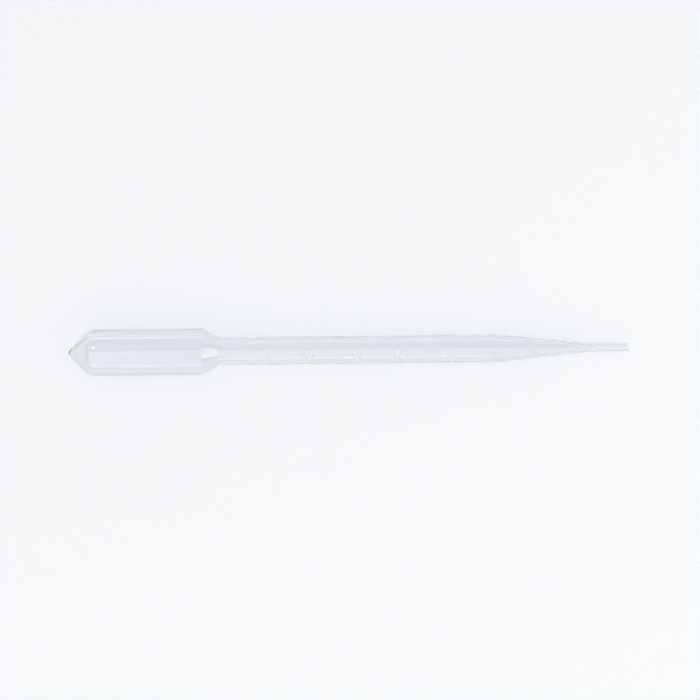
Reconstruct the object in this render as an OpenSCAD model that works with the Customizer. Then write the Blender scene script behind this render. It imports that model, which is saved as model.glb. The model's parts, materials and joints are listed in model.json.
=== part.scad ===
// Graduated dropper pipette, blow-moulded in one piece from soft clear plastic.
// It lies as it comes to rest, on the end of its bulb and the end of its stem, bulb towards -X.
// Its outline is worked out along the pipette's own axis, from the closed end (0) to the mouth.

/* [Bulb] */
// Length of the bulb, from the closed end to where the shoulder starts
bulb_l = 36.6; // [30:0.1:45]
// Outside diameter of the bulb
bulb_d = 12.8; // [11:0.1:16]
// Wall thickness of the bulb
bulb_wall = 0.3; // [0.25:0.01:0.5]
// Angle between the axis and the closed end's sloping side
dome_angle = 47; // [38:1:60]
// Radius of the nose on the closed end
nose_r = 1.6; // [1:0.1:2.4]
// Radius of the bend between the closed end and the bulb's side
dome_bend_r = 4.5; // [2:0.1:6]

/* [Shoulder] */
// Length of the cone that joins the bulb to the stem
shoulder_l = 4.6; // [3:0.1:8]
// Radius of the bend at the shoulder's wide end
shoulder_bend_r = 1.2; // [0.6:0.1:2]
// Radius of the bend at the shoulder's narrow end
neck_bend_r = 1; // [0.6:0.1:2]

/* [Stem] */
// Length of the straight stem
stem_l = 77; // [60:0.5:90]
// Outside diameter of the stem
stem_d = 7.7; // [7:0.1:9]
// Wall thickness of the stem
stem_wall = 0.32; // [0.25:0.01:0.5]

/* [Taper and tip] */
// Length of the taper from the stem to the tip
taper_l = 24.8; // [18:0.1:35]
// Radius of the bend where the stem starts to taper
taper_bend_r = 25; // [10:1:60]
// Length of the slim tip
tip_l = 12; // [8:0.1:20]
// Outside diameter of the tip where the taper ends
tip_root_d = 2.6; // [2.4:0.05:3.2]
// Outside diameter of the tip at its mouth
mouth_d = 2.3; // [2.1:0.05:2.6]
// Diameter of the hole through the tip
bore_d = 1.3; // [0.8:0.05:1.6]
// Radius of the bend where the taper meets the tip
tip_bend_r = 20; // [5:1:30]

/* [Graduations] */
// Volume between two marks, in cubic millimetres
mark_step = 500; // [500:500:1000]
// How far the scale is set towards the mouth from where the volumes would put it
scale_shift = 1.9; // [0:0.1:2.5]
// Height of the marks above the stem
mark_h = 0.18; // [0.16:0.01:0.25]
// Thickness of a mark's line along the stem
line_w = 0.3; // [0.2:0.05:0.5]
// Length of a whole millilitre's line around the stem
long_line = 2.8; // [2.4:0.1:4]
// Length of a half millilitre's line around the stem
short_line = 2; // [1.4:0.1:2.4]
// Gap between a line and its number
number_gap = 0.8; // [0.2:0.05:1.2]
// Height of the numbers
digit_h = 1.6; // [1:0.05:2]
// Width of one digit
digit_w = 1; // [0.6:0.05:1.2]
// Width of the digits' strokes
stroke_w = 0.24; // [0.15:0.01:0.3]
// Space between two characters
letter_gap = 0.18; // [0.1:0.01:0.3]
// Where the marks lie around the stem, from its top towards -Y
marks_angle = 22; // [-90:1:90]

/* [Mould lines] */
// Where the mould's halves met, from the top towards -Y
parting_angle = -45; // [-80:1:-20]
// Height of the line that they left
parting_h = 0.06; // [0.04:0.01:0.1]
// Width of that line
parting_w = 0.24; // [0.15:0.01:0.4]
// Height of the seam that closes the bulb's end
pinch_h = 0.25; // [0.1:0.05:0.5]
// Width of that seam
pinch_w = 0.6; // [0.4:0.05:1]
// How far the seam runs down from the nose, along the axis
pinch_l = 2.6; // [1.5:0.1:4]

/* [Hidden] */
$fn = 96;
// The turn between two points of a bend, and of a digit's stroke.
bend_step = 4;
digit_step = 15;
mm3_a_ml = 1000;

bulb_r = bulb_d / 2;
stem_r = stem_d / 2;
bore_r = bore_d / 2;
stem_bore_r = stem_r - stem_wall;

// Places along the axis.
neck_x = bulb_l + shoulder_l;
taper_x = neck_x + stem_l;
tip_x = taper_x + taper_l;
mouth_x = tip_x + tip_l;

// How the pipette rests: it leans over the bend at the bulb's end until the bend at the stem's end,
// or else the mouth's edge, touches the same level surface. A seat is [place, distance, bend radius].
shoulder_angle = atan((bulb_r - stem_r) / shoulder_l);
taper_angle = atan((stem_r - tip_root_d / 2) / taper_l);
bulb_seat = [bulb_l - shoulder_bend_r * tan(shoulder_angle / 2), bulb_r - shoulder_bend_r, shoulder_bend_r];
stem_seat = [taper_x - taper_bend_r * tan(taper_angle / 2), stem_r - taper_bend_r, taper_bend_r];
mouth_seat = [mouth_x, mouth_d / 2, 0];
function lean(seat) =
    let (rise = bulb_seat[1] - seat[1], run = seat[0] - bulb_seat[0])
    acos((seat[2] - bulb_seat[2]) / norm([run, rise])) - atan2(run, rise);
tilt = min(lean(stem_seat), lean(mouth_seat));
rest_z = bulb_seat[0] * sin(tilt) + bulb_seat[1] * cos(tilt) + bulb_seat[2];

// The middle of its length as it lies.
low_end = nose_r * cos(tilt) - nose_r - pinch_h;
high_end = mouth_x * cos(tilt) + mouth_d / 2 * sin(tilt);
middle_x = (low_end + high_end) / 2;

// What the tip and the taper hold below the stem.
tip_volume = PI * bore_r ^ 2 * tip_l
    + PI / 3 * taper_l * (stem_bore_r ^ 2 + stem_bore_r * bore_r + bore_r ^ 2);
stem_volume = PI * stem_bore_r ^ 2 * stem_l;

// Outline helpers. A point is [place along the axis, distance from it].

function unit(v) = v / norm(v);

// Points on an arc from one angle to another, about this many degrees apart.
function arc(centre, r, from, to, step = bend_step) =
    let (steps = max(2, ceil(abs(to - from) / step)))
    [for (i = [0:steps]) let (a = from + (to - from) * i / steps) centre + r * [cos(a), sin(a)]];

// The corner b between a and c, rounded to radius r as far as both sides allow.
function bend(a, b, c, r) =
    let (
        u = unit(a - b),
        v = unit(c - b),
        half = acos(u * v) / 2,
        reach = min(r / tan(half), norm(a - b) / 2, norm(c - b) / 2),
        centre = b + unit(u + v) * reach / cos(half),
        start = b + u * reach - centre,
        end = b + v * reach - centre,
        from = atan2(start.y, start.x),
        turn = atan2(start.x * end.y - start.y * end.x, start * end)
    )
    half > 89.9 ? [b] : arc(centre, norm(start), from, from + turn);

// The outline of the wall, moved in from the outer surface by these amounts.
function outline(in_bulb, in_stem, root_r, mouth_r) =
    let (
        nose = nose_r - in_bulb,
        wide_r = bulb_r - in_bulb,
        narrow_r = stem_r - in_stem,
        apex_x = nose_r - nose / sin(dome_angle),
        dome = [apex_x + wide_r / tan(dome_angle), wide_r],
        tangent = [nose_r, 0] + nose * [-sin(dome_angle), cos(dome_angle)],
        wide = [bulb_l, wide_r],
        neck = [neck_x, narrow_r],
        taper = [taper_x, narrow_r],
        root = [tip_x, root_r],
        mouth = [mouth_x, mouth_r]
    )
    concat(
        arc([nose_r, 0], nose, 180, 90 + dome_angle),
        bend(tangent, dome, wide, dome_bend_r - in_bulb),
        bend(dome, wide, neck, shoulder_bend_r - in_bulb),
        bend(wide, neck, taper, neck_bend_r + in_stem),
        bend(neck, taper, root, taper_bend_r),
        bend(taper, root, mouth, tip_bend_r),
        [mouth]
    );

function reversed(points) = [for (i = [len(points) - 1:-1:0]) points[i]];

// The whole outline, on both sides of the axis.
function both_sides(points) =
    concat(points, [for (i = [len(points) - 1:-1:1]) [points[i].x, -points[i].y]]);

outer = outline(0, 0, tip_root_d / 2, mouth_d / 2);
inner = outline(bulb_wall, stem_wall, bore_r, bore_r);

// Halfway into the wall, where whatever stands on the surface is rooted.
buried = outline(bulb_wall / 2, stem_wall / 2, (tip_root_d / 2 + bore_r) / 2, (mouth_d / 2 + bore_r) / 2);

// The moulded wall of bulb, shoulder, stem, taper and tip: one shell, open only at the mouth.
module moulded_wall() {
    rotate([0, 90, 0])
        rotate_extrude()
            polygon([for (p = concat(outer, reversed(inner))) [p.y, p.x]]);
}

// A flat rib in the mould's parting plane that stands h above the surface, from the nose to place x.
module rib(h, w, x) {
    raised = outline(-h, -h, tip_root_d / 2 + h, mouth_d / 2 + h);
    rotate([90 + parting_angle, 0, 0])
        linear_extrude(w, center = true)
            intersection() {
                difference() {
                    polygon(both_sides(raised));
                    polygon(both_sides(buried));
                }
                translate([-h, -bulb_d])
                    square([x + h, 2 * bulb_d]);
            }
}

// The strokes of each digit, in a box that is w wide and h high.
function strokes(digit, w, h) =
    let (
        bowl_r = h / 4,
        five_r = h * 0.31,
        five = [w - five_r, five_r]
    )
    digit == "1" ? [[[w / 2, 0], [w / 2, h]], [[w / 8, h * 0.72], [w / 2, h]]] :
    digit == "2" ? [
        concat(arc([w / 2, h - w / 2], w / 2, 165, -35, digit_step), [[0, 0]]),
        [[0, 0], [w, 0]]
    ] :
    digit == "3" ? [
        arc([w / 2, h - bowl_r], bowl_r, 150, -90, digit_step),
        arc([w / 2, bowl_r], bowl_r, 90, -150, digit_step)
    ] :
    digit == "4" ? [
        [[w * 0.7, 0], [w * 0.7, h]],
        [[w * 0.7, h], [0, h * 0.3]],
        [[0, h * 0.3], [w, h * 0.3]]
    ] :
    digit == "5" ? [
        [[w, h], [w * 0.1, h]],
        [[w * 0.1, h], five + five_r * [cos(135), sin(135)]],
        arc(five, five_r, 135, -140, digit_step)
    ] :
    [[[0, 0], [stroke_w / 4, 0]]];

// The outline of a stroke of the digits' width along a path.
function stroke_outline(path) =
    let (
        last = len(path) - 1,
        side = [for (i = [0:last])
            let (d = unit(path[min(i + 1, last)] - path[max(i - 1, 0)])) stroke_w / 2 * [-d.y, d.x]],
        cap = stroke_w / 2 * [unit(path[0] - path[1]), unit(path[last] - path[last - 1])]
    )
    concat(
        [for (i = [0:last]) path[i] + side[i] + (i == 0 ? cap[0] : i == last ? cap[1] : [0, 0])],
        [for (i = [last:-1:0]) path[i] - side[i] + (i == 0 ? cap[0] : i == last ? cap[1] : [0, 0])]
    );

function advance(character) = letter_gap + (character == "." ? stroke_w : digit_w);

// The width that the first few characters of a number take up.
function run_width(number, count) =
    count == 0 ? 0 : run_width(number, count - 1) + advance(number[count - 1]);

// A mark's number, such as .5, 1 or 1.5.
function number_of(i) =
    let (ml = i * mark_step / mm3_a_ml)
    str(ml < 1 ? "" : floor(ml), ml - floor(ml) > 0 ? ".5" : "");

// One number, flat, with its foot on the X axis and centred on the Y axis.
module number_shape(number) {
    count = len(number);
    start = -(run_width(number, count) - letter_gap) / 2 + stroke_w / 2;
    for (i = [0:count - 1])
        translate([start + run_width(number, i), stroke_w / 2])
            for (path = strokes(number[i], digit_w - stroke_w, digit_h - stroke_w))
                polygon(stroke_outline(path));
}

// The place of mark i: the stem holds one step between two marks.
function mark_x(i) = taper_x + scale_shift - (i * mark_step - tip_volume) / (PI * stem_bore_r ^ 2);

mark_top = line_w / 2 + number_gap + digit_h;

// A line across the stem, with its number standing on it towards the bulb.
module mark(i) {
    whole = i * mark_step % mm3_a_ml == 0;
    line = whole ? long_line : short_line;
    intersection() {
        translate([mark_x(i), 0, 0])
            rotate([marks_angle, 0, 0])
                rotate([0, 0, 90])
                    linear_extrude(stem_d) {
                        square([line, line_w], center = true);
                        translate([0, line_w / 2 + number_gap])
                            number_shape(number_of(i));
                    }
        rotate([0, 90, 0])
            difference() {
                cylinder(h = mouth_x, r = stem_r + mark_h);
                cylinder(h = mouth_x, r = stem_r - stem_wall / 2);
            }
    }
}

module pipette() {
    color([0.89, 0.92, 0.94])
        translate([-middle_x, 0, rest_z])
            rotate([0, tilt, 0]) {
                moulded_wall();
                rib(parting_h, parting_w, mouth_x);
                rib(pinch_h, pinch_w, pinch_l);
                for (i = [1:floor((tip_volume + stem_volume) / mark_step)])
                    if (mark_x(i) + line_w < taper_x && mark_x(i) - mark_top > neck_x)
                        mark(i);
            }
}

pipette();
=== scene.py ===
"""Graduated dropper pipette, blow-moulded in one piece from soft clear plastic, dressed and lit.

The wall is modelled in millimetres along the pipette's own axis, which is +X from the closed end (0) to
the mouth. Its two skins are spun from half outlines, joined at the mouth, and then laid on the floor
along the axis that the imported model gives. Angles round the wall are degrees from its top towards -Y.
"""
import json
import logging
import math
from dataclasses import dataclass, field
from enum import Enum
from typing import Any, Iterator, Sequence

import bmesh
import bpy
from mathutils import Matrix, Vector, noise


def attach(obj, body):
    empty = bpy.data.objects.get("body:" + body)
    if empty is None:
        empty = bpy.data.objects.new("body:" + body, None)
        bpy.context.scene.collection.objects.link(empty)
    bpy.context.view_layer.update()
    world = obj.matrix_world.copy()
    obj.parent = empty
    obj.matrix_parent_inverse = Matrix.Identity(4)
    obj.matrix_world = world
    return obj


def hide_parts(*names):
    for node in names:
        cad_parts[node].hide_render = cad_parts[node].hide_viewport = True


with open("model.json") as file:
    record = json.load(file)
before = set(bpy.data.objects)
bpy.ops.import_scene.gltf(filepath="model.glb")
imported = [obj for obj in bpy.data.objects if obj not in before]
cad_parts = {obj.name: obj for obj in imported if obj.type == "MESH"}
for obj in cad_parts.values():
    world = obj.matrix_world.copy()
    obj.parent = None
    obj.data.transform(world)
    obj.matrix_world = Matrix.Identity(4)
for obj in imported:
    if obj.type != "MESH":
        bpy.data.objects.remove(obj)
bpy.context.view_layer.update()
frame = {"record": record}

LOG = logging.getLogger("pipette")
MM = 0.001
MM3_A_ML = 1000.0
RAISED = "raised_mark"
GRAIN = "wall_grain"
HAZE_WITH_PAINTED_GLINTS = "surface_haze"

Colour = tuple[float, float, float]
Point = tuple[float, float]
Span = tuple[float, float]
HORIZON: Colour = (0.87, 0.88, 0.89)


class Skin(Enum):
    """The two sides of the moulded wall."""

    OUTER = "outer"
    INNER = "inner"


# ---------------------------------------------------------------- helpers


def smoothstep(low: float, high: float, value: float) -> float:
    """Eases from 0 at low to 1 at high.

    Args:
        low: The value at which the ease starts.
        high: The value at which it ends.
        value: The value to ease.

    Returns:
        A number from 0 to 1.
    """
    t = min(max((value - low) / (high - low), 0.0), 1.0)
    return t * t * (3.0 - 2.0 * t)


def mix(first: float, second: float, share: float) -> float:
    """Blends two numbers, from the first at share 0 to the second at share 1."""
    return first + (second - first) * share


def arc_points(centre: Point, radius: float, start: float, end: float, step: float) -> list[Point]:
    """Points on an arc.

    Args:
        centre: The arc's centre.
        radius: Its radius.
        start: Its first angle, in degrees.
        end: Its last angle, in degrees.
        step: About how many degrees apart the points are.

    Returns:
        The points, from the first angle to the last.
    """
    steps = max(2, math.ceil(abs(end - start) / step))
    turns = (math.radians(mix(start, end, i / steps)) for i in range(steps + 1))
    return [(centre[0] + radius * math.cos(t), centre[1] + radius * math.sin(t)) for t in turns]


def distance_to_path(point: Point, path: Sequence[Point]) -> float:
    """How far a point is from a path of straight lines, on the flat.

    Args:
        point: The point.
        path: The path's points.

    Returns:
        The distance to the nearest place on the path.
    """
    nearest = math.inf
    px, py = point
    for (ax, ay), (bx, by) in zip(path, path[1:]):
        run, rise = bx - ax, by - ay
        share = ((px - ax) * run + (py - ay) * rise) / (run * run + rise * rise)
        share = min(max(share, 0.0), 1.0)
        nearest = min(nearest, math.hypot(px - ax - share * run, py - ay - share * rise))
    return nearest


# ---------------------------------------------------------------- the moulded wall


@dataclass(frozen=True)
class Corner:
    """A corner of the outline, rounded to a bend.

    Attributes:
        place: Where it lies along the axis.
        radius: How far it lies from the axis.
        bend: The radius that it is rounded to.
    """

    place: float
    radius: float
    bend: float

    @property
    def point(self) -> Vector:
        """The corner in the plane of the outline."""
        return Vector((self.place, 0.0, self.radius))


@dataclass(frozen=True)
class WallSizes:
    """The sizes of the moulded wall, in millimetres, outside unless the name says otherwise."""

    bulb_l: float = 36.6
    bulb_r: float = 6.4
    bulb_wall: float = 0.3
    dome_slope: float = 47.0
    nose_r: float = 1.6
    dome_bend_r: float = 4.5
    shoulder_l: float = 4.6
    shoulder_bend_r: float = 1.2
    neck_bend_r: float = 1.0
    stem_l: float = 77.0
    stem_r: float = 3.85
    stem_wall: float = 0.32
    taper_l: float = 24.8
    taper_bend_r: float = 25.0
    tip_l: float = 12.0
    root_r: float = 1.3
    mouth_r: float = 1.15
    bore_r: float = 0.65
    tip_bend_r: float = 20.0
    lip_r: float = 0.12

    @property
    def neck(self) -> float:
        """Where the shoulder meets the stem."""
        return self.bulb_l + self.shoulder_l

    @property
    def taper(self) -> float:
        """Where the stem starts to taper."""
        return self.neck + self.stem_l

    @property
    def root(self) -> float:
        """Where the taper meets the tip."""
        return self.taper + self.taper_l

    @property
    def mouth(self) -> float:
        """Where the tip ends."""
        return self.root + self.tip_l

    @property
    def stem_bore_r(self) -> float:
        """The radius of the stem's hollow."""
        return self.stem_r - self.stem_wall

    def nose(self, skin: Skin) -> float:
        """The radius of the nose on one skin."""
        return self.nose_r - (self.bulb_wall if skin is Skin.INNER else 0.0)

    def corners(self, skin: Skin) -> list[Corner]:
        """The outline's corners, from the dome to the middle of the mouth's rim, where the skins meet.

        Args:
            skin: The side of the wall.

        Returns:
            The corners, of which the last has no bend.
        """
        inside = skin is Skin.INNER
        in_bulb = self.bulb_wall if inside else 0.0
        in_stem = self.stem_wall if inside else 0.0
        wide, narrow = self.bulb_r - in_bulb, self.stem_r - in_stem
        slope = math.radians(self.dome_slope)
        apex = self.nose_r - self.nose(skin) / math.sin(slope)
        return [
            Corner(apex + wide / math.tan(slope), wide, self.dome_bend_r - in_bulb),
            Corner(self.bulb_l, wide, self.shoulder_bend_r - in_bulb),
            Corner(self.neck, narrow, self.neck_bend_r + in_stem),
            Corner(self.taper, narrow, self.taper_bend_r),
            Corner(self.root, self.bore_r if inside else self.root_r, self.tip_bend_r),
            Corner(self.mouth, self.bore_r if inside else self.mouth_r, self.lip_r),
            Corner(self.mouth, (self.bore_r + self.mouth_r) / 2, 0.0),
        ]


@dataclass(frozen=True)
class Rows:
    """How fine the wall's mesh is.

    Attributes:
        plain: Millimetres between rows on plain stretches.
        marked: Millimetres between rows under a mark.
        sag: How far a bend may stray from its arc between two rows.
        column: Degrees between columns on plain stretches.
        marked_column: Degrees between columns under the marks.
        seam_columns: Columns across a mould line.
        weld: How near two points are merged.
    """

    plain: float = 0.9
    marked: float = 0.066
    sag: float = 0.0025
    column: float = 4.0
    marked_column: float = 0.84
    seam_columns: int = 6
    weld: float = 2e-4


@dataclass(frozen=True)
class Graduations:
    """Raised volume marks along the stem, each a line with its number standing on it towards the bulb.

    Attributes:
        wall: The wall that carries them.
        step: Volume between two marks, in cubic millimetres.
        shift: How far they are set towards the mouth from where the volumes would put them.
        height: How far they stand out.
        line_w: Thickness of a line along the stem.
        long_line: Length of a whole millilitre's line around the stem.
        short_line: Length of a half millilitre's line.
        number_gap: Gap between a line and its number.
        digit_h: Height of the numbers.
        digit_w: Width of one digit.
        stroke_w: Width of the digits' strokes.
        letter_gap: Space between two characters.
        angle: Where they lie round the stem.
        half_turn: How far they reach to each side of that angle.
        soft: How wide the rounded side of a stroke is.
        margin: How far the fine rows reach beyond a mark.
    """

    wall: WallSizes
    step: float = 500.0
    shift: float = 1.9
    height: float = 0.18
    line_w: float = 0.3
    long_line: float = 2.8
    short_line: float = 2.0
    number_gap: float = 0.8
    digit_h: float = 1.6
    digit_w: float = 1.0
    stroke_w: float = 0.24
    letter_gap: float = 0.18
    angle: float = 22.0
    half_turn: float = 24.0
    soft: float = 0.11
    margin: float = 0.06

    @property
    def places(self) -> list[float]:
        """Where each mark's line lies along the axis, the smallest volume first."""
        wall = self.wall
        tip = math.pi * wall.bore_r**2 * wall.tip_l
        hollows = wall.stem_bore_r**2 + wall.stem_bore_r * wall.bore_r + wall.bore_r**2
        tip += math.pi / 3 * wall.taper_l * hollows
        a_millimetre = math.pi * wall.stem_bore_r**2
        count = int((tip + a_millimetre * wall.stem_l) / self.step)
        first = wall.taper + self.shift
        found = [first - (i * self.step - tip) / a_millimetre for i in range(1, count + 1)]
        top = self.line_w / 2 + self.number_gap + self.digit_h
        return [x for x in found if x + self.line_w < wall.taper and x - top > wall.neck]

    @property
    def spans(self) -> list[Span]:
        """The stretch of stem that each mark covers, from the bulb towards the tip."""
        top = self.line_w / 2 + self.number_gap + self.digit_h + self.margin
        foot = self.line_w / 2 + self.margin
        return [(x - top, x + foot) for x in reversed(self.places)]

    def number(self, index: int) -> str:
        """The number of a mark, such as .5, 1 or 1.5, counted from 1 at the tip's end."""
        millilitres = index * self.step / MM3_A_ML
        whole = str(int(millilitres)) if millilitres >= 1 else ""
        return whole + (".5" if millilitres % 1 else "")

    def digit(self, character: str) -> list[list[Point]]:
        """The strokes of a character, as paths in a box from its lower left corner.

        Args:
            character: A digit from 1 to 5, or the decimal point.

        Returns:
            The paths along the middles of the strokes.
        """
        w, h = self.digit_w - self.stroke_w, self.digit_h - self.stroke_w
        bowl, five = h / 4, h * 0.31
        step = 15.0
        shapes = {
            "1": [[(w / 2, 0.0), (w / 2, h), (w / 8, h * 0.72)]],
            "2": [arc_points((w / 2, h - w / 2), w / 2, 165, -35, step) + [(0.0, 0.0), (w, 0.0)]],
            "3": [
                arc_points((w / 2, h - bowl), bowl, 150, -90, step),
                arc_points((w / 2, bowl), bowl, 90, -150, step),
            ],
            "4": [[(w * 0.7, 0.0), (w * 0.7, h), (0.0, h * 0.3), (w, h * 0.3)]],
            "5": [[(w, h), (w * 0.1, h)] + arc_points((w - five, five), five, 135, -140, step)],
            ".": [[(0.0, 0.0), (self.stroke_w / 4, 0.0)]],
        }
        return shapes[character]

    def strokes(self, index: int) -> list[list[Point]]:
        """All the strokes of a mark's number, its foot on the first axis and centred on the second.

        Args:
            index: The mark, counted from 1 at the tip's end.

        Returns:
            The paths along the middles of the strokes.
        """
        number = self.number(index)
        widths = [self.stroke_w if c == "." else self.digit_w for c in number]
        run = sum(widths) + self.letter_gap * (len(number) - 1)
        paths, left = [], self.stroke_w / 2 - run / 2
        for character, width in zip(number, widths):
            for path in self.digit(character):
                paths.append([(x + left, y + self.stroke_w / 2) for x, y in path])
            left += width + self.letter_gap
        return paths

    def raise_marks(self, mesh: bmesh.types.BMesh) -> None:
        """Raises every mark on the outer skin, and clears the haze from it, which lightens the marks as a
        painted glint.

        Args:
            mesh: The outer skin, with its normals up to date.
        """
        raised, haze = mesh.verts.layers.float.new(RAISED), mesh.verts.layers.float[HAZE_WITH_PAINTED_GLINTS]
        spin = Matrix.Rotation(math.radians(-self.angle), 3, "X")
        foot = self.line_w / 2 + self.number_gap
        for index, place in enumerate(self.places, start=1):
            whole = index * self.step % MM3_A_ML == 0
            half_line = ((self.long_line if whole else self.short_line) - self.line_w) / 2
            line = [(-half_line, 0.0), (half_line, 0.0)]
            number = [[(x, y + foot) for x, y in path] for path in self.strokes(index)]
            low, high = place - foot - self.digit_h - self.soft, place + foot
            for vert in mesh.verts:
                if not low < vert.co.x < high:
                    continue
                flat = spin @ vert.co
                if flat.z < 0:
                    continue
                point = (flat.y, place - vert.co.x)
                bare = min(
                    distance_to_path(point, line) - self.line_w / 2,
                    min(distance_to_path(point, path) for path in number) - self.stroke_w / 2,
                )
                rise = 1.0 - smoothstep(-self.soft / 2, self.soft / 2, bare)
                if rise:
                    vert.co += vert.normal * self.height * rise
                    # Painted glint: the haze tint is lifted off the raised mark, so it shows lighter than
                    # the wall.
                    vert[raised], vert[haze] = rise, 1.0 - rise


@dataclass(frozen=True)
class MouldLines:
    """The thin line that the mould's halves left, and the seam that closes the bulb's end.

    Attributes:
        angle: Where the mould parted, round the wall. The other side is opposite.
        height: How far the line stands out.
        width: Width of the line.
        pinch_h: How far the bulb's end seam stands out.
        pinch_w: Width of that seam.
        pinch_l: How far it runs down from the nose.
        fade: The length over which it dies out.
        crest: How far the line's crest reaches from its middle, as a share of its width.
        foot: How far its rounded foot reaches.
        cover: How far the fine columns reach.
    """

    angle: float = -45.0
    height: float = 0.06
    width: float = 0.24
    pinch_h: float = 0.25
    pinch_w: float = 0.6
    pinch_l: float = 2.6
    fade: float = 0.5
    crest: float = 0.2
    foot: float = 0.7
    cover: float = 0.75

    @property
    def sides(self) -> tuple[float, float]:
        """The angles of the two lines."""
        return self.angle, self.angle + 180.0

    def pinched(self, place: float) -> float:
        """How much of the end seam there is at a place along the axis, from 1 to 0."""
        return 1.0 - smoothstep(self.pinch_l - self.fade, self.pinch_l + self.fade, place)

    def half_width(self, place: float) -> float:
        """Half the width of wall that the fine columns cover at a place along the axis."""
        return mix(self.width, self.pinch_w, self.pinched(place)) * self.cover

    def raise_lines(self, mesh: bmesh.types.BMesh, end: float) -> None:
        """Raises the lines on the outer skin, and clears the haze from them and from the end seam, which
        lightens them as a painted highlight.

        Args:
            mesh: The outer skin, with its normals up to date.
            end: Where they end along the axis.
        """
        haze = mesh.verts.layers.float[HAZE_WITH_PAINTED_GLINTS]
        spin = Matrix.Rotation(math.radians(-self.angle), 3, "X")
        for vert in mesh.verts:
            off = abs((spin @ vert.co).y)
            if off > self.pinch_w or vert.co.x > end:
                continue
            line = 1.0 - smoothstep(self.width * self.crest, self.width * self.foot, off)
            seam = self.pinched(vert.co.x) * (1.0 - smoothstep(0.0, self.pinch_w, off))
            vert.co += vert.normal * max(self.height * line, self.pinch_h * seam)
            # Painted highlight: the haze tint is lifted off the mould lines and the end seam, so they show
            # lighter.
            vert[haze] = 1.0 - max(line, seam)


@dataclass(frozen=True)
class WallFlow:
    """The slight unevenness of a blown wall, long along the axis and short around it.

    Attributes:
        outer: How far the outer skin strays, in millimetres.
        inner: How far the inner skin strays.
        along: Length of a ripple along the axis.
        around: Length of a ripple around it.
        grain_r: The radius that the wall's grain is laid out on, so that its lines follow the wall.
        inner_shift: How far the inner skin's ripples are shifted from the outer skin's, in ripples.
    """

    outer: float = 0.01
    inner: float = 0.022
    along: float = 26.0
    around: float = 4.5
    grain_r: float = 5.0
    inner_shift: tuple[float, float, float] = (3.1, 7.7, 1.3)

    def ripple(self, mesh: bmesh.types.BMesh, skin: Skin, calm_from: float) -> None:
        """Moves one skin in and out.

        Args:
            mesh: The skin, with its normals up to date.
            skin: Which skin it is.
            calm_from: The place along the axis where the ripples start to die out.
        """
        reach = self.inner if skin is Skin.INNER else self.outer
        shift = Vector(self.inner_shift) if skin is Skin.INNER else Vector()
        stretch = Vector((1 / self.along, 1 / self.around, 1 / self.around))
        for vert in mesh.verts:
            calm = 1.0 - smoothstep(calm_from, calm_from + self.along, vert.co.x)
            vert.co += vert.normal * (noise.noise(vert.co * stretch + shift) * reach * calm)

    def lay_grain(self, mesh: bmesh.types.BMesh, skin: Skin) -> None:
        """Gives each point of a skin its place in the wall's grain, in metres, and its haze.

        Args:
            mesh: The skin as it was spun.
            skin: Which skin it is. The haze lies on the outer one.
        """
        haze = mesh.verts.layers.float.new(HAZE_WITH_PAINTED_GLINTS)
        grain = mesh.verts.layers.float_vector.new(GRAIN)
        for vert in mesh.verts:
            turn = math.atan2(-vert.co.y, vert.co.z)
            around = self.grain_r * math.sin(turn), self.grain_r * math.cos(turn)
            vert[grain] = Vector((vert.co.x, *around)) * MM
            vert[haze] = float(skin is Skin.OUTER)


class HalfOutline:
    """Half an outline, drawn as a wire in the plane of the axis, x along it and z away from it."""

    def __init__(self, mesh: bmesh.types.BMesh, start: Vector) -> None:
        """Starts the wire at a point.

        Args:
            mesh: The mesh that holds the wire.
            start: Its first point.
        """
        self.mesh = mesh
        self.end = bmesh.ops.create_vert(mesh, co=start)["vert"][0]

    def line_to(self, point: Vector, step: float) -> None:
        """Runs straight to a point, in rows about one step apart.

        Args:
            point: The line's end.
            step: The distance between rows.
        """
        start = self.end.co.copy()
        count = max(1, round((point - start).length / step))
        for row in range(1, count + 1):
            self.end = bmesh.ops.extrude_vert_indiv(self.mesh, verts=[self.end])["verts"][0]
            self.end.co = start.lerp(point, row / count)

    def arc_about(self, centre: Vector, turn: float, sag: float) -> None:
        """Turns about a centre.

        Args:
            centre: The arc's centre.
            turn: The angle in radians, positive from z towards x.
            sag: How far the rows may stray from the arc.
        """
        a_row = 2 * math.acos(1 - sag / (self.end.co - centre).length)
        steps = max(2, math.ceil(abs(turn) / a_row))
        spun = bmesh.ops.spin(
            self.mesh, geom=[self.end], cent=centre, axis=(0, 1, 0), dvec=(0, 0, 0),
            angle=turn, steps=steps, use_merge=False, use_duplicate=False,
        )
        self.end = next(v for v in spun["geom_last"] if isinstance(v, bmesh.types.BMVert))

    def bend_at(self, corner: Corner, after: Corner, rows: Rows, marked: Span | None = None) -> None:
        """Runs towards a corner and rounds it off on the way to the next one.

        Args:
            corner: The corner to round.
            after: The corner after it.
            rows: How fine the rows are.
            marked: The stretch along the axis that carries the last mark before the bend, if there is one.
        """
        first = (corner.point - self.end.co).normalized()
        second = (after.point - corner.point).normalized()
        turn = math.atan2(first.z * second.x - first.x * second.z, first.dot(second))
        start = corner.point - first * corner.bend * math.tan(abs(turn) / 2)
        side = math.copysign(corner.bend, turn)
        centre = start + Vector((first.z, 0.0, -first.x)) * side
        if marked:
            self.line_to(Vector((marked[0], 0.0, start.z)), rows.plain)
            self.line_to(Vector((min(marked[1], start.x), 0.0, start.z)), rows.marked)
        if marked and marked[1] > start.x:
            # The mark runs on into the bend, whose first part then has the same fine rows.
            fine = math.copysign(math.asin((marked[1] - start.x) / corner.bend), turn)
            self.arc_about(centre, fine, corner.bend * (1 - math.cos(rows.marked / corner.bend / 2)))
            turn -= fine
        else:
            self.line_to(start, rows.plain)
        self.arc_about(centre, turn, rows.sag)


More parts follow.
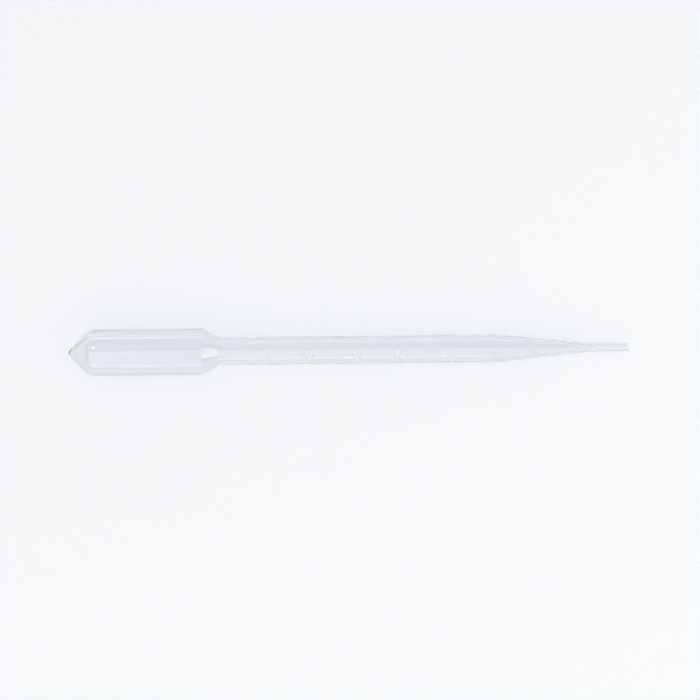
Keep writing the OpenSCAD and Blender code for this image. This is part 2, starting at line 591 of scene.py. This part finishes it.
@dataclass
class MouldedPipette:
    """The whole pipette: bulb, shoulder, stem, taper and tip in one closed wall, open at the mouth.

    Attributes:
        wall: The wall's sizes.
        rows: How fine its mesh is.
        lines: The mould lines on it.
        flow: The unevenness of the wall.
        seam_reach: How far from a mould line the columns are slid towards it, in degrees.
        seam_turn: How far the fine columns reach from a mould line before that, in degrees.
        marks: The graduations on it.
    """

    wall: WallSizes = field(default_factory=WallSizes)
    rows: Rows = field(default_factory=Rows)
    lines: MouldLines = field(default_factory=MouldLines)
    flow: WallFlow = field(default_factory=WallFlow)
    seam_reach: float = 36.0
    seam_turn: float = 3.0
    marks: Graduations = field(init=False)

    def __post_init__(self) -> None:
        """Sets the graduations on the wall."""
        self.marks = Graduations(self.wall)

    def placement(self) -> Matrix:
        """Where the pipette lies, from its own axis in millimetres to the row frame in metres.

        Returns:
            The matrix, worked out from the hole in the tip that the record states.
        """
        bore = next(m for m in frame["record"]["mounts"] if m["name"] == "tip_bore")
        along = Vector(bore["axis"]).normalized()
        mouth = Vector(bore["pos_m"]) + along * bore["dims"]["length_mm"] * MM / 2
        closed_end = mouth - along * self.wall.mouth * MM
        lean = Matrix.Rotation(math.atan2(-along.z, along.x), 4, "Y")
        return Matrix.Translation(closed_end) @ lean @ Matrix.Scale(MM, 4)

    def sectors(self) -> list[tuple[float, int]]:
        """The turns round the wall, starting just before the first mould line, and each one's columns."""
        rows, marks = self.rows, self.marks
        first, second = self.lines.sides
        stops = [
            first + self.seam_turn,
            marks.angle - marks.half_turn,
            marks.angle + marks.half_turn,
            second - self.seam_turn,
        ]
        to_marks, marked, on = (b - a for a, b in zip(stops, stops[1:]))
        back = 180.0 - 2 * self.seam_turn
        return [
            (2 * self.seam_turn, rows.seam_columns),
            (to_marks, round(to_marks / rows.column)),
            (marked, round(marked / rows.marked_column)),
            (on, round(on / rows.column)),
            (2 * self.seam_turn, rows.seam_columns),
            (back, round(back / rows.column)),
        ]

    def draw_outline(self, mesh: bmesh.types.BMesh, skin: Skin) -> None:
        """Draws half the outline of one skin, from the nose to the mouth.

        Args:
            mesh: An empty mesh.
            skin: Which skin to draw.
        """
        nose = self.wall.nose(skin)
        path = HalfOutline(mesh, Vector((self.wall.nose_r - nose, 0.0, 0.0)))
        to_dome = math.radians(90.0 - self.wall.dome_slope)
        path.arc_about(Vector((self.wall.nose_r, 0.0, 0.0)), to_dome, self.rows.sag)
        corners = self.wall.corners(skin)
        for corner, after in zip(corners, corners[1:]):
            if skin is Skin.OUTER and corner.place == self.wall.taper:
                *spans, last = self.marks.spans
                for start, end in spans:
                    path.line_to(Vector((start, 0.0, corner.radius)), self.rows.plain)
                    path.line_to(Vector((end, 0.0, corner.radius)), self.rows.marked)
                path.bend_at(corner, after, self.rows, last)
            else:
                path.bend_at(corner, after, self.rows)
        path.line_to(corners[-1].point, self.rows.plain)

    def spin_skin(self, mesh: bmesh.types.BMesh) -> None:
        """Spins a half outline into a skin, sector by sector.

        Args:
            mesh: The mesh that holds the half outline alone.
        """
        start = Matrix.Rotation(math.radians(self.lines.angle - self.seam_turn), 3, "X")
        bmesh.ops.rotate(mesh, cent=(0, 0, 0), matrix=start, verts=mesh.verts)
        ring: list[Any] = mesh.verts[:] + mesh.edges[:]
        for turn, columns in self.sectors():
            spun = bmesh.ops.spin(
                mesh, geom=ring, cent=(0, 0, 0), axis=(1, 0, 0), dvec=(0, 0, 0),
                angle=math.radians(turn), steps=columns, use_merge=False, use_duplicate=False,
            )
            ring = spun["geom_last"]
        bmesh.ops.remove_doubles(mesh, verts=mesh.verts, dist=self.rows.weld)
        bmesh.ops.recalc_face_normals(mesh, faces=mesh.faces)

    def gather_columns(self, mesh: bmesh.types.BMesh) -> None:
        """Slides the columns round the axis, so that the fine ones keep a mould line's width.

        Args:
            mesh: A skin as it was spun.
        """
        most = self.seam_reach - 2 * self.seam_turn
        for vert in mesh.verts:
            radius = math.hypot(vert.co.y, vert.co.z)
            if radius < self.lines.height:
                continue
            half = math.degrees(self.lines.half_width(vert.co.x) / radius)
            half = min(half, most)
            turn = math.degrees(math.atan2(-vert.co.y, vert.co.z))
            for side in self.lines.sides:
                off = (turn - side + 180.0) % 360.0 - 180.0
                if abs(off) >= self.seam_reach:
                    continue
                if abs(off) <= self.seam_turn:
                    slid = abs(off) * half / self.seam_turn
                else:
                    share = (abs(off) - self.seam_turn) / (self.seam_reach - self.seam_turn)
                    slid = mix(half, self.seam_reach, share)
                angle = math.radians(side + math.copysign(slid, off))
                vert.co.y, vert.co.z = -radius * math.sin(angle), radius * math.cos(angle)

    def make_skin(self, skin: Skin) -> bmesh.types.BMesh:
        """Makes one skin with everything that stands on it.

        Args:
            skin: Which skin to make.

        Returns:
            The skin, open at the mouth.
        """
        mesh = bmesh.new()
        self.draw_outline(mesh, skin)
        self.spin_skin(mesh)
        self.gather_columns(mesh)
        self.flow.lay_grain(mesh, skin)
        mesh.normal_update()
        self.flow.ripple(mesh, skin, self.wall.taper)
        if skin is Skin.OUTER:
            self.lines.raise_lines(mesh, self.wall.mouth - self.wall.lip_r)
            mesh.normal_update()
            self.marks.raise_marks(mesh)
        return mesh

    def build(self) -> bpy.types.Object:
        """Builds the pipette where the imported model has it.

        Returns:
            The pipette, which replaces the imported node.
        """
        shell = bpy.data.meshes.new("moulded_pipette")
        whole = bmesh.new()
        for skin in Skin:
            part = make_mesh_of(self.make_skin(skin), skin.value)
            whole.from_mesh(part)
            bpy.data.meshes.remove(part)
        rims = [vert for vert in whole.verts if vert.is_boundary]
        bmesh.ops.remove_doubles(whole, verts=rims, dist=self.rows.weld)
        bmesh.ops.recalc_face_normals(whole, faces=whole.faces)
        bmesh.ops.transform(whole, matrix=self.placement(), verts=whole.verts)
        for face in whole.faces:
            face.smooth = True
        whole.to_mesh(shell)
        whole.free()
        piece = bpy.data.objects.new("moulded_pipette", shell)
        bpy.context.scene.collection.objects.link(piece)
        LOG.info("%s: %d faces", piece.name, len(shell.polygons))
        return piece


def make_mesh_of(mesh: bmesh.types.BMesh, name: str) -> bpy.types.Mesh:
    """Writes a bmesh to a new mesh and frees it.

    Args:
        mesh: The bmesh.
        name: The new mesh's name.

    Returns:
        The mesh.
    """
    made = bpy.data.meshes.new(name)
    mesh.to_mesh(made)
    mesh.free()
    return made


# ---------------------------------------------------------------- finishes


def add_node(tree: bpy.types.NodeTree, kind: str, **values: Any) -> bpy.types.Node:
    """Adds a node and sets its inputs by name.

    Args:
        tree: The node tree.
        kind: The node's type, without its ShaderNode in front.
        **values: Inputs by name, with _ for a space, or the node's own settings in lower case.

    Returns:
        The node.
    """
    node = tree.nodes.new("ShaderNode" + kind)
    for name, value in values.items():
        if name[0].islower():
            setattr(node, name, value)
        else:
            node.inputs[name.replace("_", " ")].default_value = value
    return node


def socket(node: bpy.types.Node, name: str, kind: str, side: str = "inputs") -> bpy.types.NodeSocket:
    """Finds a socket of a Mix node, whose names repeat for each kind of value.

    Args:
        node: The node.
        name: The socket's name.
        kind: The kind of value: VALUE, VECTOR or RGBA.
        side: Whether it is among the inputs or the outputs.

    Returns:
        The socket.
    """
    return next(s for s in getattr(node, side) if s.name == name and s.type == kind)


def group_socket(tree: bpy.types.NodeTree, name: str, kind: str, direction: str, value: Any = None) -> None:
    """Gives a node group a named socket.

    Args:
        tree: The group.
        name: The socket's name.
        kind: Float, Vector or Color.
        direction: INPUT or OUTPUT.
        value: Its value where nothing is linked.
    """
    made = tree.interface.new_socket(name, in_out=direction, socket_type="NodeSocket" + kind)
    if value is not None:
        made.default_value = value


def flow_line_group() -> bpy.types.NodeTree:
    """The fine lines that run along a blown wall, as a height and a mask of haze.

    Returns:
        A node group with Vector, Length and Width in, and Height and Haze out.
    """
    tree = bpy.data.node_groups.new("flow_lines", "ShaderNodeTree")
    group_socket(tree, "Vector", "Vector", "INPUT")
    group_socket(tree, "Length", "Float", "INPUT", 0.07)
    group_socket(tree, "Width", "Float", "INPUT", 0.0006)
    group_socket(tree, "Height", "Float", "OUTPUT")
    group_socket(tree, "Haze", "Float", "OUTPUT")
    inputs = tree.nodes.new("NodeGroupInput")
    outputs = tree.nodes.new("NodeGroupOutput")
    link = tree.links.new
    split = add_node(tree, "SeparateXYZ")
    link(inputs.outputs["Vector"], split.inputs["Vector"])
    joined = add_node(tree, "CombineXYZ")
    for axis, size in (("X", "Length"), ("Y", "Width"), ("Z", "Width")):
        scaled = add_node(tree, "Math", operation="DIVIDE")
        link(split.outputs[axis], scaled.inputs[0])
        link(inputs.outputs[size], scaled.inputs[1])
        link(scaled.outputs[0], joined.inputs[axis])
    lines = add_node(tree, "TexNoise", Scale=1.0, Detail=3.0, Roughness=0.55)
    link(joined.outputs["Vector"], lines.inputs["Vector"])
    clouds = add_node(tree, "TexNoise", Scale=90.0, Detail=2.0, Roughness=0.5)
    link(inputs.outputs["Vector"], clouds.inputs["Vector"])
    haze = add_node(tree, "Math", operation="MULTIPLY")
    link(lines.outputs["Fac"], haze.inputs[0])
    link(clouds.outputs["Fac"], haze.inputs[1])
    link(lines.outputs["Fac"], outputs.inputs["Height"])
    link(haze.outputs[0], outputs.inputs["Haze"])
    return tree


@dataclass(frozen=True)
class ClearSoftPlastic:
    """Soft clear polyethylene with a faint haze.

    Attributes:
        clear_tint: Its colour where light passes through a clear skin. On the raised marks and mould lines
            it is a painted highlight, which shows them lighter than the hazy wall.
        haze_tint: Its colour where light passes through the haze on the outer skin.
        roughness: How much it scatters what passes through, least and most.
        ior: Its refractive index.
        depth_colour: The colour that thick plastic turns to.
        depth_density: How fast it turns, in absorption for each metre.
        shade: What a shadow ray keeps at each skin.
        mark_roughness: The roughness of the raised marks.
        haze_range: The haze's values that get the least and the most roughness.
        line_strength: How strongly the flow lines show.
        line_height: How high they are, in metres.
        clear: The share of light that passes through, the rest being scattered back.
    """

    clear_tint: Colour = (1.0, 1.0, 1.0)
    haze_tint: Colour = (0.83, 0.86, 0.882)
    roughness: tuple[float, float] = (0.09, 0.15)
    ior: float = 1.51
    depth_colour: Colour = (0.55, 0.68, 0.78)
    depth_density: float = 60.0
    shade: Colour = (0.97, 0.973, 0.977)
    mark_roughness: float = 0.3
    haze_range: tuple[float, float] = (0.1, 0.45)
    line_strength: float = 0.3
    line_height: float = 0.000006
    clear: float = 0.9

    def build(self) -> bpy.types.Material:
        """Makes the material.

        Returns:
            The material.
        """
        material = bpy.data.materials.new("clear_soft_plastic")
        material.use_nodes = True
        tree = material.node_tree
        tree.nodes.clear()
        link = tree.links.new
        grain = add_node(tree, "Attribute", attribute_name=GRAIN)
        flow = tree.nodes.new("ShaderNodeGroup")
        flow.node_tree = flow_line_group()
        link(grain.outputs["Vector"], flow.inputs["Vector"])
        bump = add_node(tree, "Bump", Strength=self.line_strength, Distance=self.line_height)
        link(flow.outputs["Height"], bump.inputs["Height"])
        rough = add_node(tree, "MapRange", From_Min=self.haze_range[0], From_Max=self.haze_range[1])
        rough.inputs["To Min"].default_value, rough.inputs["To Max"].default_value = self.roughness
        link(flow.outputs["Haze"], rough.inputs["Value"])
        raised = add_node(tree, "Attribute", attribute_name=RAISED)
        frost = add_node(tree, "Mix", data_type="FLOAT")
        link(raised.outputs["Fac"], frost.inputs["Factor"])
        link(rough.outputs["Result"], frost.inputs["A"])
        frost.inputs["B"].default_value = self.mark_roughness
        # Where the haze is lifted, on the raised marks and mould lines, the lighter clear tint is a painted
        # highlight.
        haze = add_node(tree, "Attribute", attribute_name=HAZE_WITH_PAINTED_GLINTS)
        tint = add_node(tree, "Mix", data_type="RGBA")
        link(haze.outputs["Fac"], tint.inputs["Factor"])
        socket(tint, "A", "RGBA").default_value = (*self.clear_tint, 1.0)
        socket(tint, "B", "RGBA").default_value = (*self.haze_tint, 1.0)
        plastic = add_node(tree, "BsdfPrincipled", IOR=self.ior, Transmission_Weight=self.clear)
        link(socket(tint, "Result", "RGBA", "outputs"), plastic.inputs["Base Color"])
        link(frost.outputs["Result"], plastic.inputs["Roughness"])
        link(bump.outputs["Normal"], plastic.inputs["Normal"])
        shade = add_node(tree, "BsdfTransparent")
        shade.inputs["Color"].default_value = (*self.shade, 1.0)
        rays = add_node(tree, "LightPath")
        lit = add_node(tree, "Math", operation="MAXIMUM")
        link(rays.outputs["Is Shadow Ray"], lit.inputs[0])
        link(rays.outputs["Is Diffuse Ray"], lit.inputs[1])
        both = add_node(tree, "MixShader")
        link(lit.outputs[0], both.inputs["Fac"])
        link(plastic.outputs["BSDF"], both.inputs[1])
        link(shade.outputs["BSDF"], both.inputs[2])
        depth = add_node(tree, "VolumeAbsorption", Density=self.depth_density)
        depth.inputs["Color"].default_value = (*self.depth_colour, 1.0)
        surface = add_node(tree, "OutputMaterial")
        link(both.outputs["Shader"], surface.inputs["Surface"])
        link(depth.outputs["Volume"], surface.inputs["Volume"])
        return material


@dataclass(frozen=True)
class PaleFloor:
    """The plain pale board that the pipette lies on. Far off it runs into the horizon's colour.

    Attributes:
        colour: Its colour.
        roughness: Its roughness.
        specular: How much it shines.
        horizon: The colour that it takes far off, as seen and as reflected.
        near: How far from the middle it starts to take it, in metres.
        far: How far from the middle it has taken it.
    """

    colour: Colour = (0.93, 0.935, 0.94)
    roughness: float = 0.7
    specular: float = 0.1
    horizon: Colour = HORIZON
    near: float = 0.4
    far: float = 1.6

    def build(self) -> bpy.types.Material:
        """Makes the material.

        Returns:
            The material.
        """
        material = bpy.data.materials.new("pale_floor")
        material.use_nodes = True
        tree = material.node_tree
        tree.nodes.clear()
        link = tree.links.new
        board = add_node(tree, "BsdfPrincipled", Roughness=self.roughness, Specular_IOR_Level=self.specular)
        board.inputs["Base Color"].default_value = (*self.colour, 1.0)
        haze = add_node(tree, "Emission")
        haze.inputs["Color"].default_value = (*self.horizon, 1.0)
        place = add_node(tree, "TexCoord")
        away = add_node(tree, "VectorMath", operation="LENGTH")
        link(place.outputs["Object"], away.inputs[0])
        share = add_node(
            tree, "MapRange", interpolation_type="SMOOTHSTEP", From_Min=self.near, From_Max=self.far
        )
        link(away.outputs["Value"], share.inputs["Value"])
        rays = add_node(tree, "LightPath")
        seen = rays.outputs["Is Camera Ray"]
        for kind in ("Is Glossy Ray", "Is Transmission Ray"):
            either = add_node(tree, "Math", operation="MAXIMUM")
            link(seen, either.inputs[0])
            link(rays.outputs[kind], either.inputs[1])
            seen = either.outputs[0]
        both = add_node(tree, "Math", operation="MULTIPLY")
        link(seen, both.inputs[0])
        link(share.outputs["Result"], both.inputs[1])
        mixed = add_node(tree, "MixShader")
        link(both.outputs[0], mixed.inputs["Fac"])
        link(board.outputs["BSDF"], mixed.inputs[1])
        link(haze.outputs["Emission"], mixed.inputs[2])
        surface = add_node(tree, "OutputMaterial")
        link(mixed.outputs["Shader"], surface.inputs["Surface"])
        return material


# ---------------------------------------------------------------- the studio


@dataclass(frozen=True)
class Softbox:
    """A soft square lamp.

    Attributes:
        name: Its name.
        place: Where it hangs, in metres.
        aim: The point that it faces.
        size: Its width and height.
        radiance: How bright its face is, where 1 is white.
    """

    name: str
    place: Vector
    aim: Vector
    size: tuple[float, float]
    radiance: float

    def hang(self) -> bpy.types.Object:
        """Hangs the lamp, which lights the scene but isn't seen itself.

        Returns:
            The lamp's object.
        """
        lamp = bpy.data.lights.new(self.name, "AREA")
        lamp.shape = "RECTANGLE"
        lamp.size, lamp.size_y = self.size
        lamp.energy = self.radiance * math.pi * self.size[0] * self.size[1]
        holder = bpy.data.objects.new(self.name, lamp)
        holder.location = self.place
        holder.rotation_euler = (self.aim - self.place).to_track_quat("-Z", "Y").to_euler()
        holder.visible_camera = False
        bpy.context.scene.collection.objects.link(holder)
        return holder


@dataclass(frozen=True)
class Studio:
    """A pale floor, soft lamps and a camera that looks straight down.

    Attributes:
        floor_size: Width of the floor, in metres.
        sky: The world's colour overhead.
        horizon: Its colour at the horizon.
        horizon_height: How far up the horizon's colour reaches, as the sine of its height.
        lens: The camera's focal length, in millimetres.
        sensor: Its sensor's width.
        view_width: Width of floor that the picture takes in.
        roll: How far the picture is turned, in degrees.
        aim: The point at the middle of the picture.
    """

    floor_size: float = 6.0
    sky: Colour = (0.36, 0.37, 0.385)
    horizon: Colour = HORIZON
    horizon_height: float = 0.45
    lens: float = 90.0
    sensor: float = 36.0
    view_width: float = 0.196
    roll: float = -0.64
    aim: tuple[float, float] = (0.0, 0.0)

    def softboxes(self) -> Iterator[Softbox]:
        """The lamps: a wide one overhead, a low one along the side, a small one and one past the tip."""
        centre = Vector()
        yield Softbox(
            name="overhead_lamp", place=Vector((-0.12, -1.05, 1.5)), aim=centre,
            size=(2.3, 3.2), radiance=1.27,
        )
        yield Softbox(
            name="side_lamp", place=Vector((0.0, 1.7, 0.29)), aim=centre,
            size=(2.2, 0.44), radiance=2.3,
        )
        yield Softbox(
            name="small_lamp", place=Vector((-0.35, 0.75, 1.6)), aim=centre,
            size=(0.16, 0.16), radiance=24.0,
        )
        yield Softbox(
            name="end_lamp", place=Vector((1.72, -0.2, 0.8)), aim=centre,
            size=(1.5, 0.8), radiance=2.6,
        )

    def lay_floor(self) -> bpy.types.Object:
        """Lays the floor.

        Returns:
            The floor.
        """
        mesh = bmesh.new()
        bmesh.ops.create_grid(mesh, x_segments=1, y_segments=1, size=self.floor_size / 2)
        floor = bpy.data.objects.new("pale_floor", make_mesh_of(mesh, "pale_floor"))
        floor.data.materials.append(PaleFloor().build())
        bpy.context.scene.collection.objects.link(floor)
        return floor

    def light_world(self) -> None:
        """Gives the world its plain soft light."""
        world = bpy.data.worlds.new("studio")
        world.use_nodes = True
        tree = world.node_tree
        link = tree.links.new
        direction = add_node(tree, "TexCoord")
        height = add_node(tree, "SeparateXYZ")
        link(direction.outputs["Generated"], height.inputs["Vector"])
        climb = add_node(tree, "MapRange", interpolation_type="SMOOTHSTEP", From_Max=self.horizon_height)
        link(height.outputs["Z"], climb.inputs["Value"])
        blend = add_node(tree, "Mix", data_type="RGBA")
        link(climb.outputs["Result"], blend.inputs["Factor"])
        socket(blend, "A", "RGBA").default_value = (*self.horizon, 1.0)
        socket(blend, "B", "RGBA").default_value = (*self.sky, 1.0)
        link(socket(blend, "Result", "RGBA", "outputs"), tree.nodes["Background"].inputs["Color"])
        bpy.context.scene.world = world

    def place_camera(self) -> bpy.types.Object:
        """Places the camera straight above the pipette.

        Returns:
            The camera.
        """
        data = bpy.data.cameras.new("camera")
        data.lens, data.sensor_width = self.lens, self.sensor
        camera = bpy.data.objects.new("camera", data)
        camera.location = (*self.aim, self.view_width * self.lens / self.sensor)
        camera.rotation_euler = (0.0, 0.0, math.radians(self.roll))
        bpy.context.scene.collection.objects.link(camera)
        bpy.context.scene.camera = camera
        return camera

    def build(self) -> None:
        """Sets up the floor, the lamps, the world and the camera."""
        self.place_camera()
        self.lay_floor()
        self.light_world()
        for softbox in self.softboxes():
            softbox.hang()
        bpy.context.scene.view_settings.view_transform = "Standard"


def main() -> None:
    """Builds the studio and the pipette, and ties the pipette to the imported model."""
    logging.basicConfig(level=logging.INFO, format="%(message)s")
    Studio().build()
    piece = MouldedPipette().build()
    piece.data.materials.append(ClearSoftPlastic().build())
    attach(piece, "root")
    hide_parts("pipette")


if __name__ == "__main__":
    main()
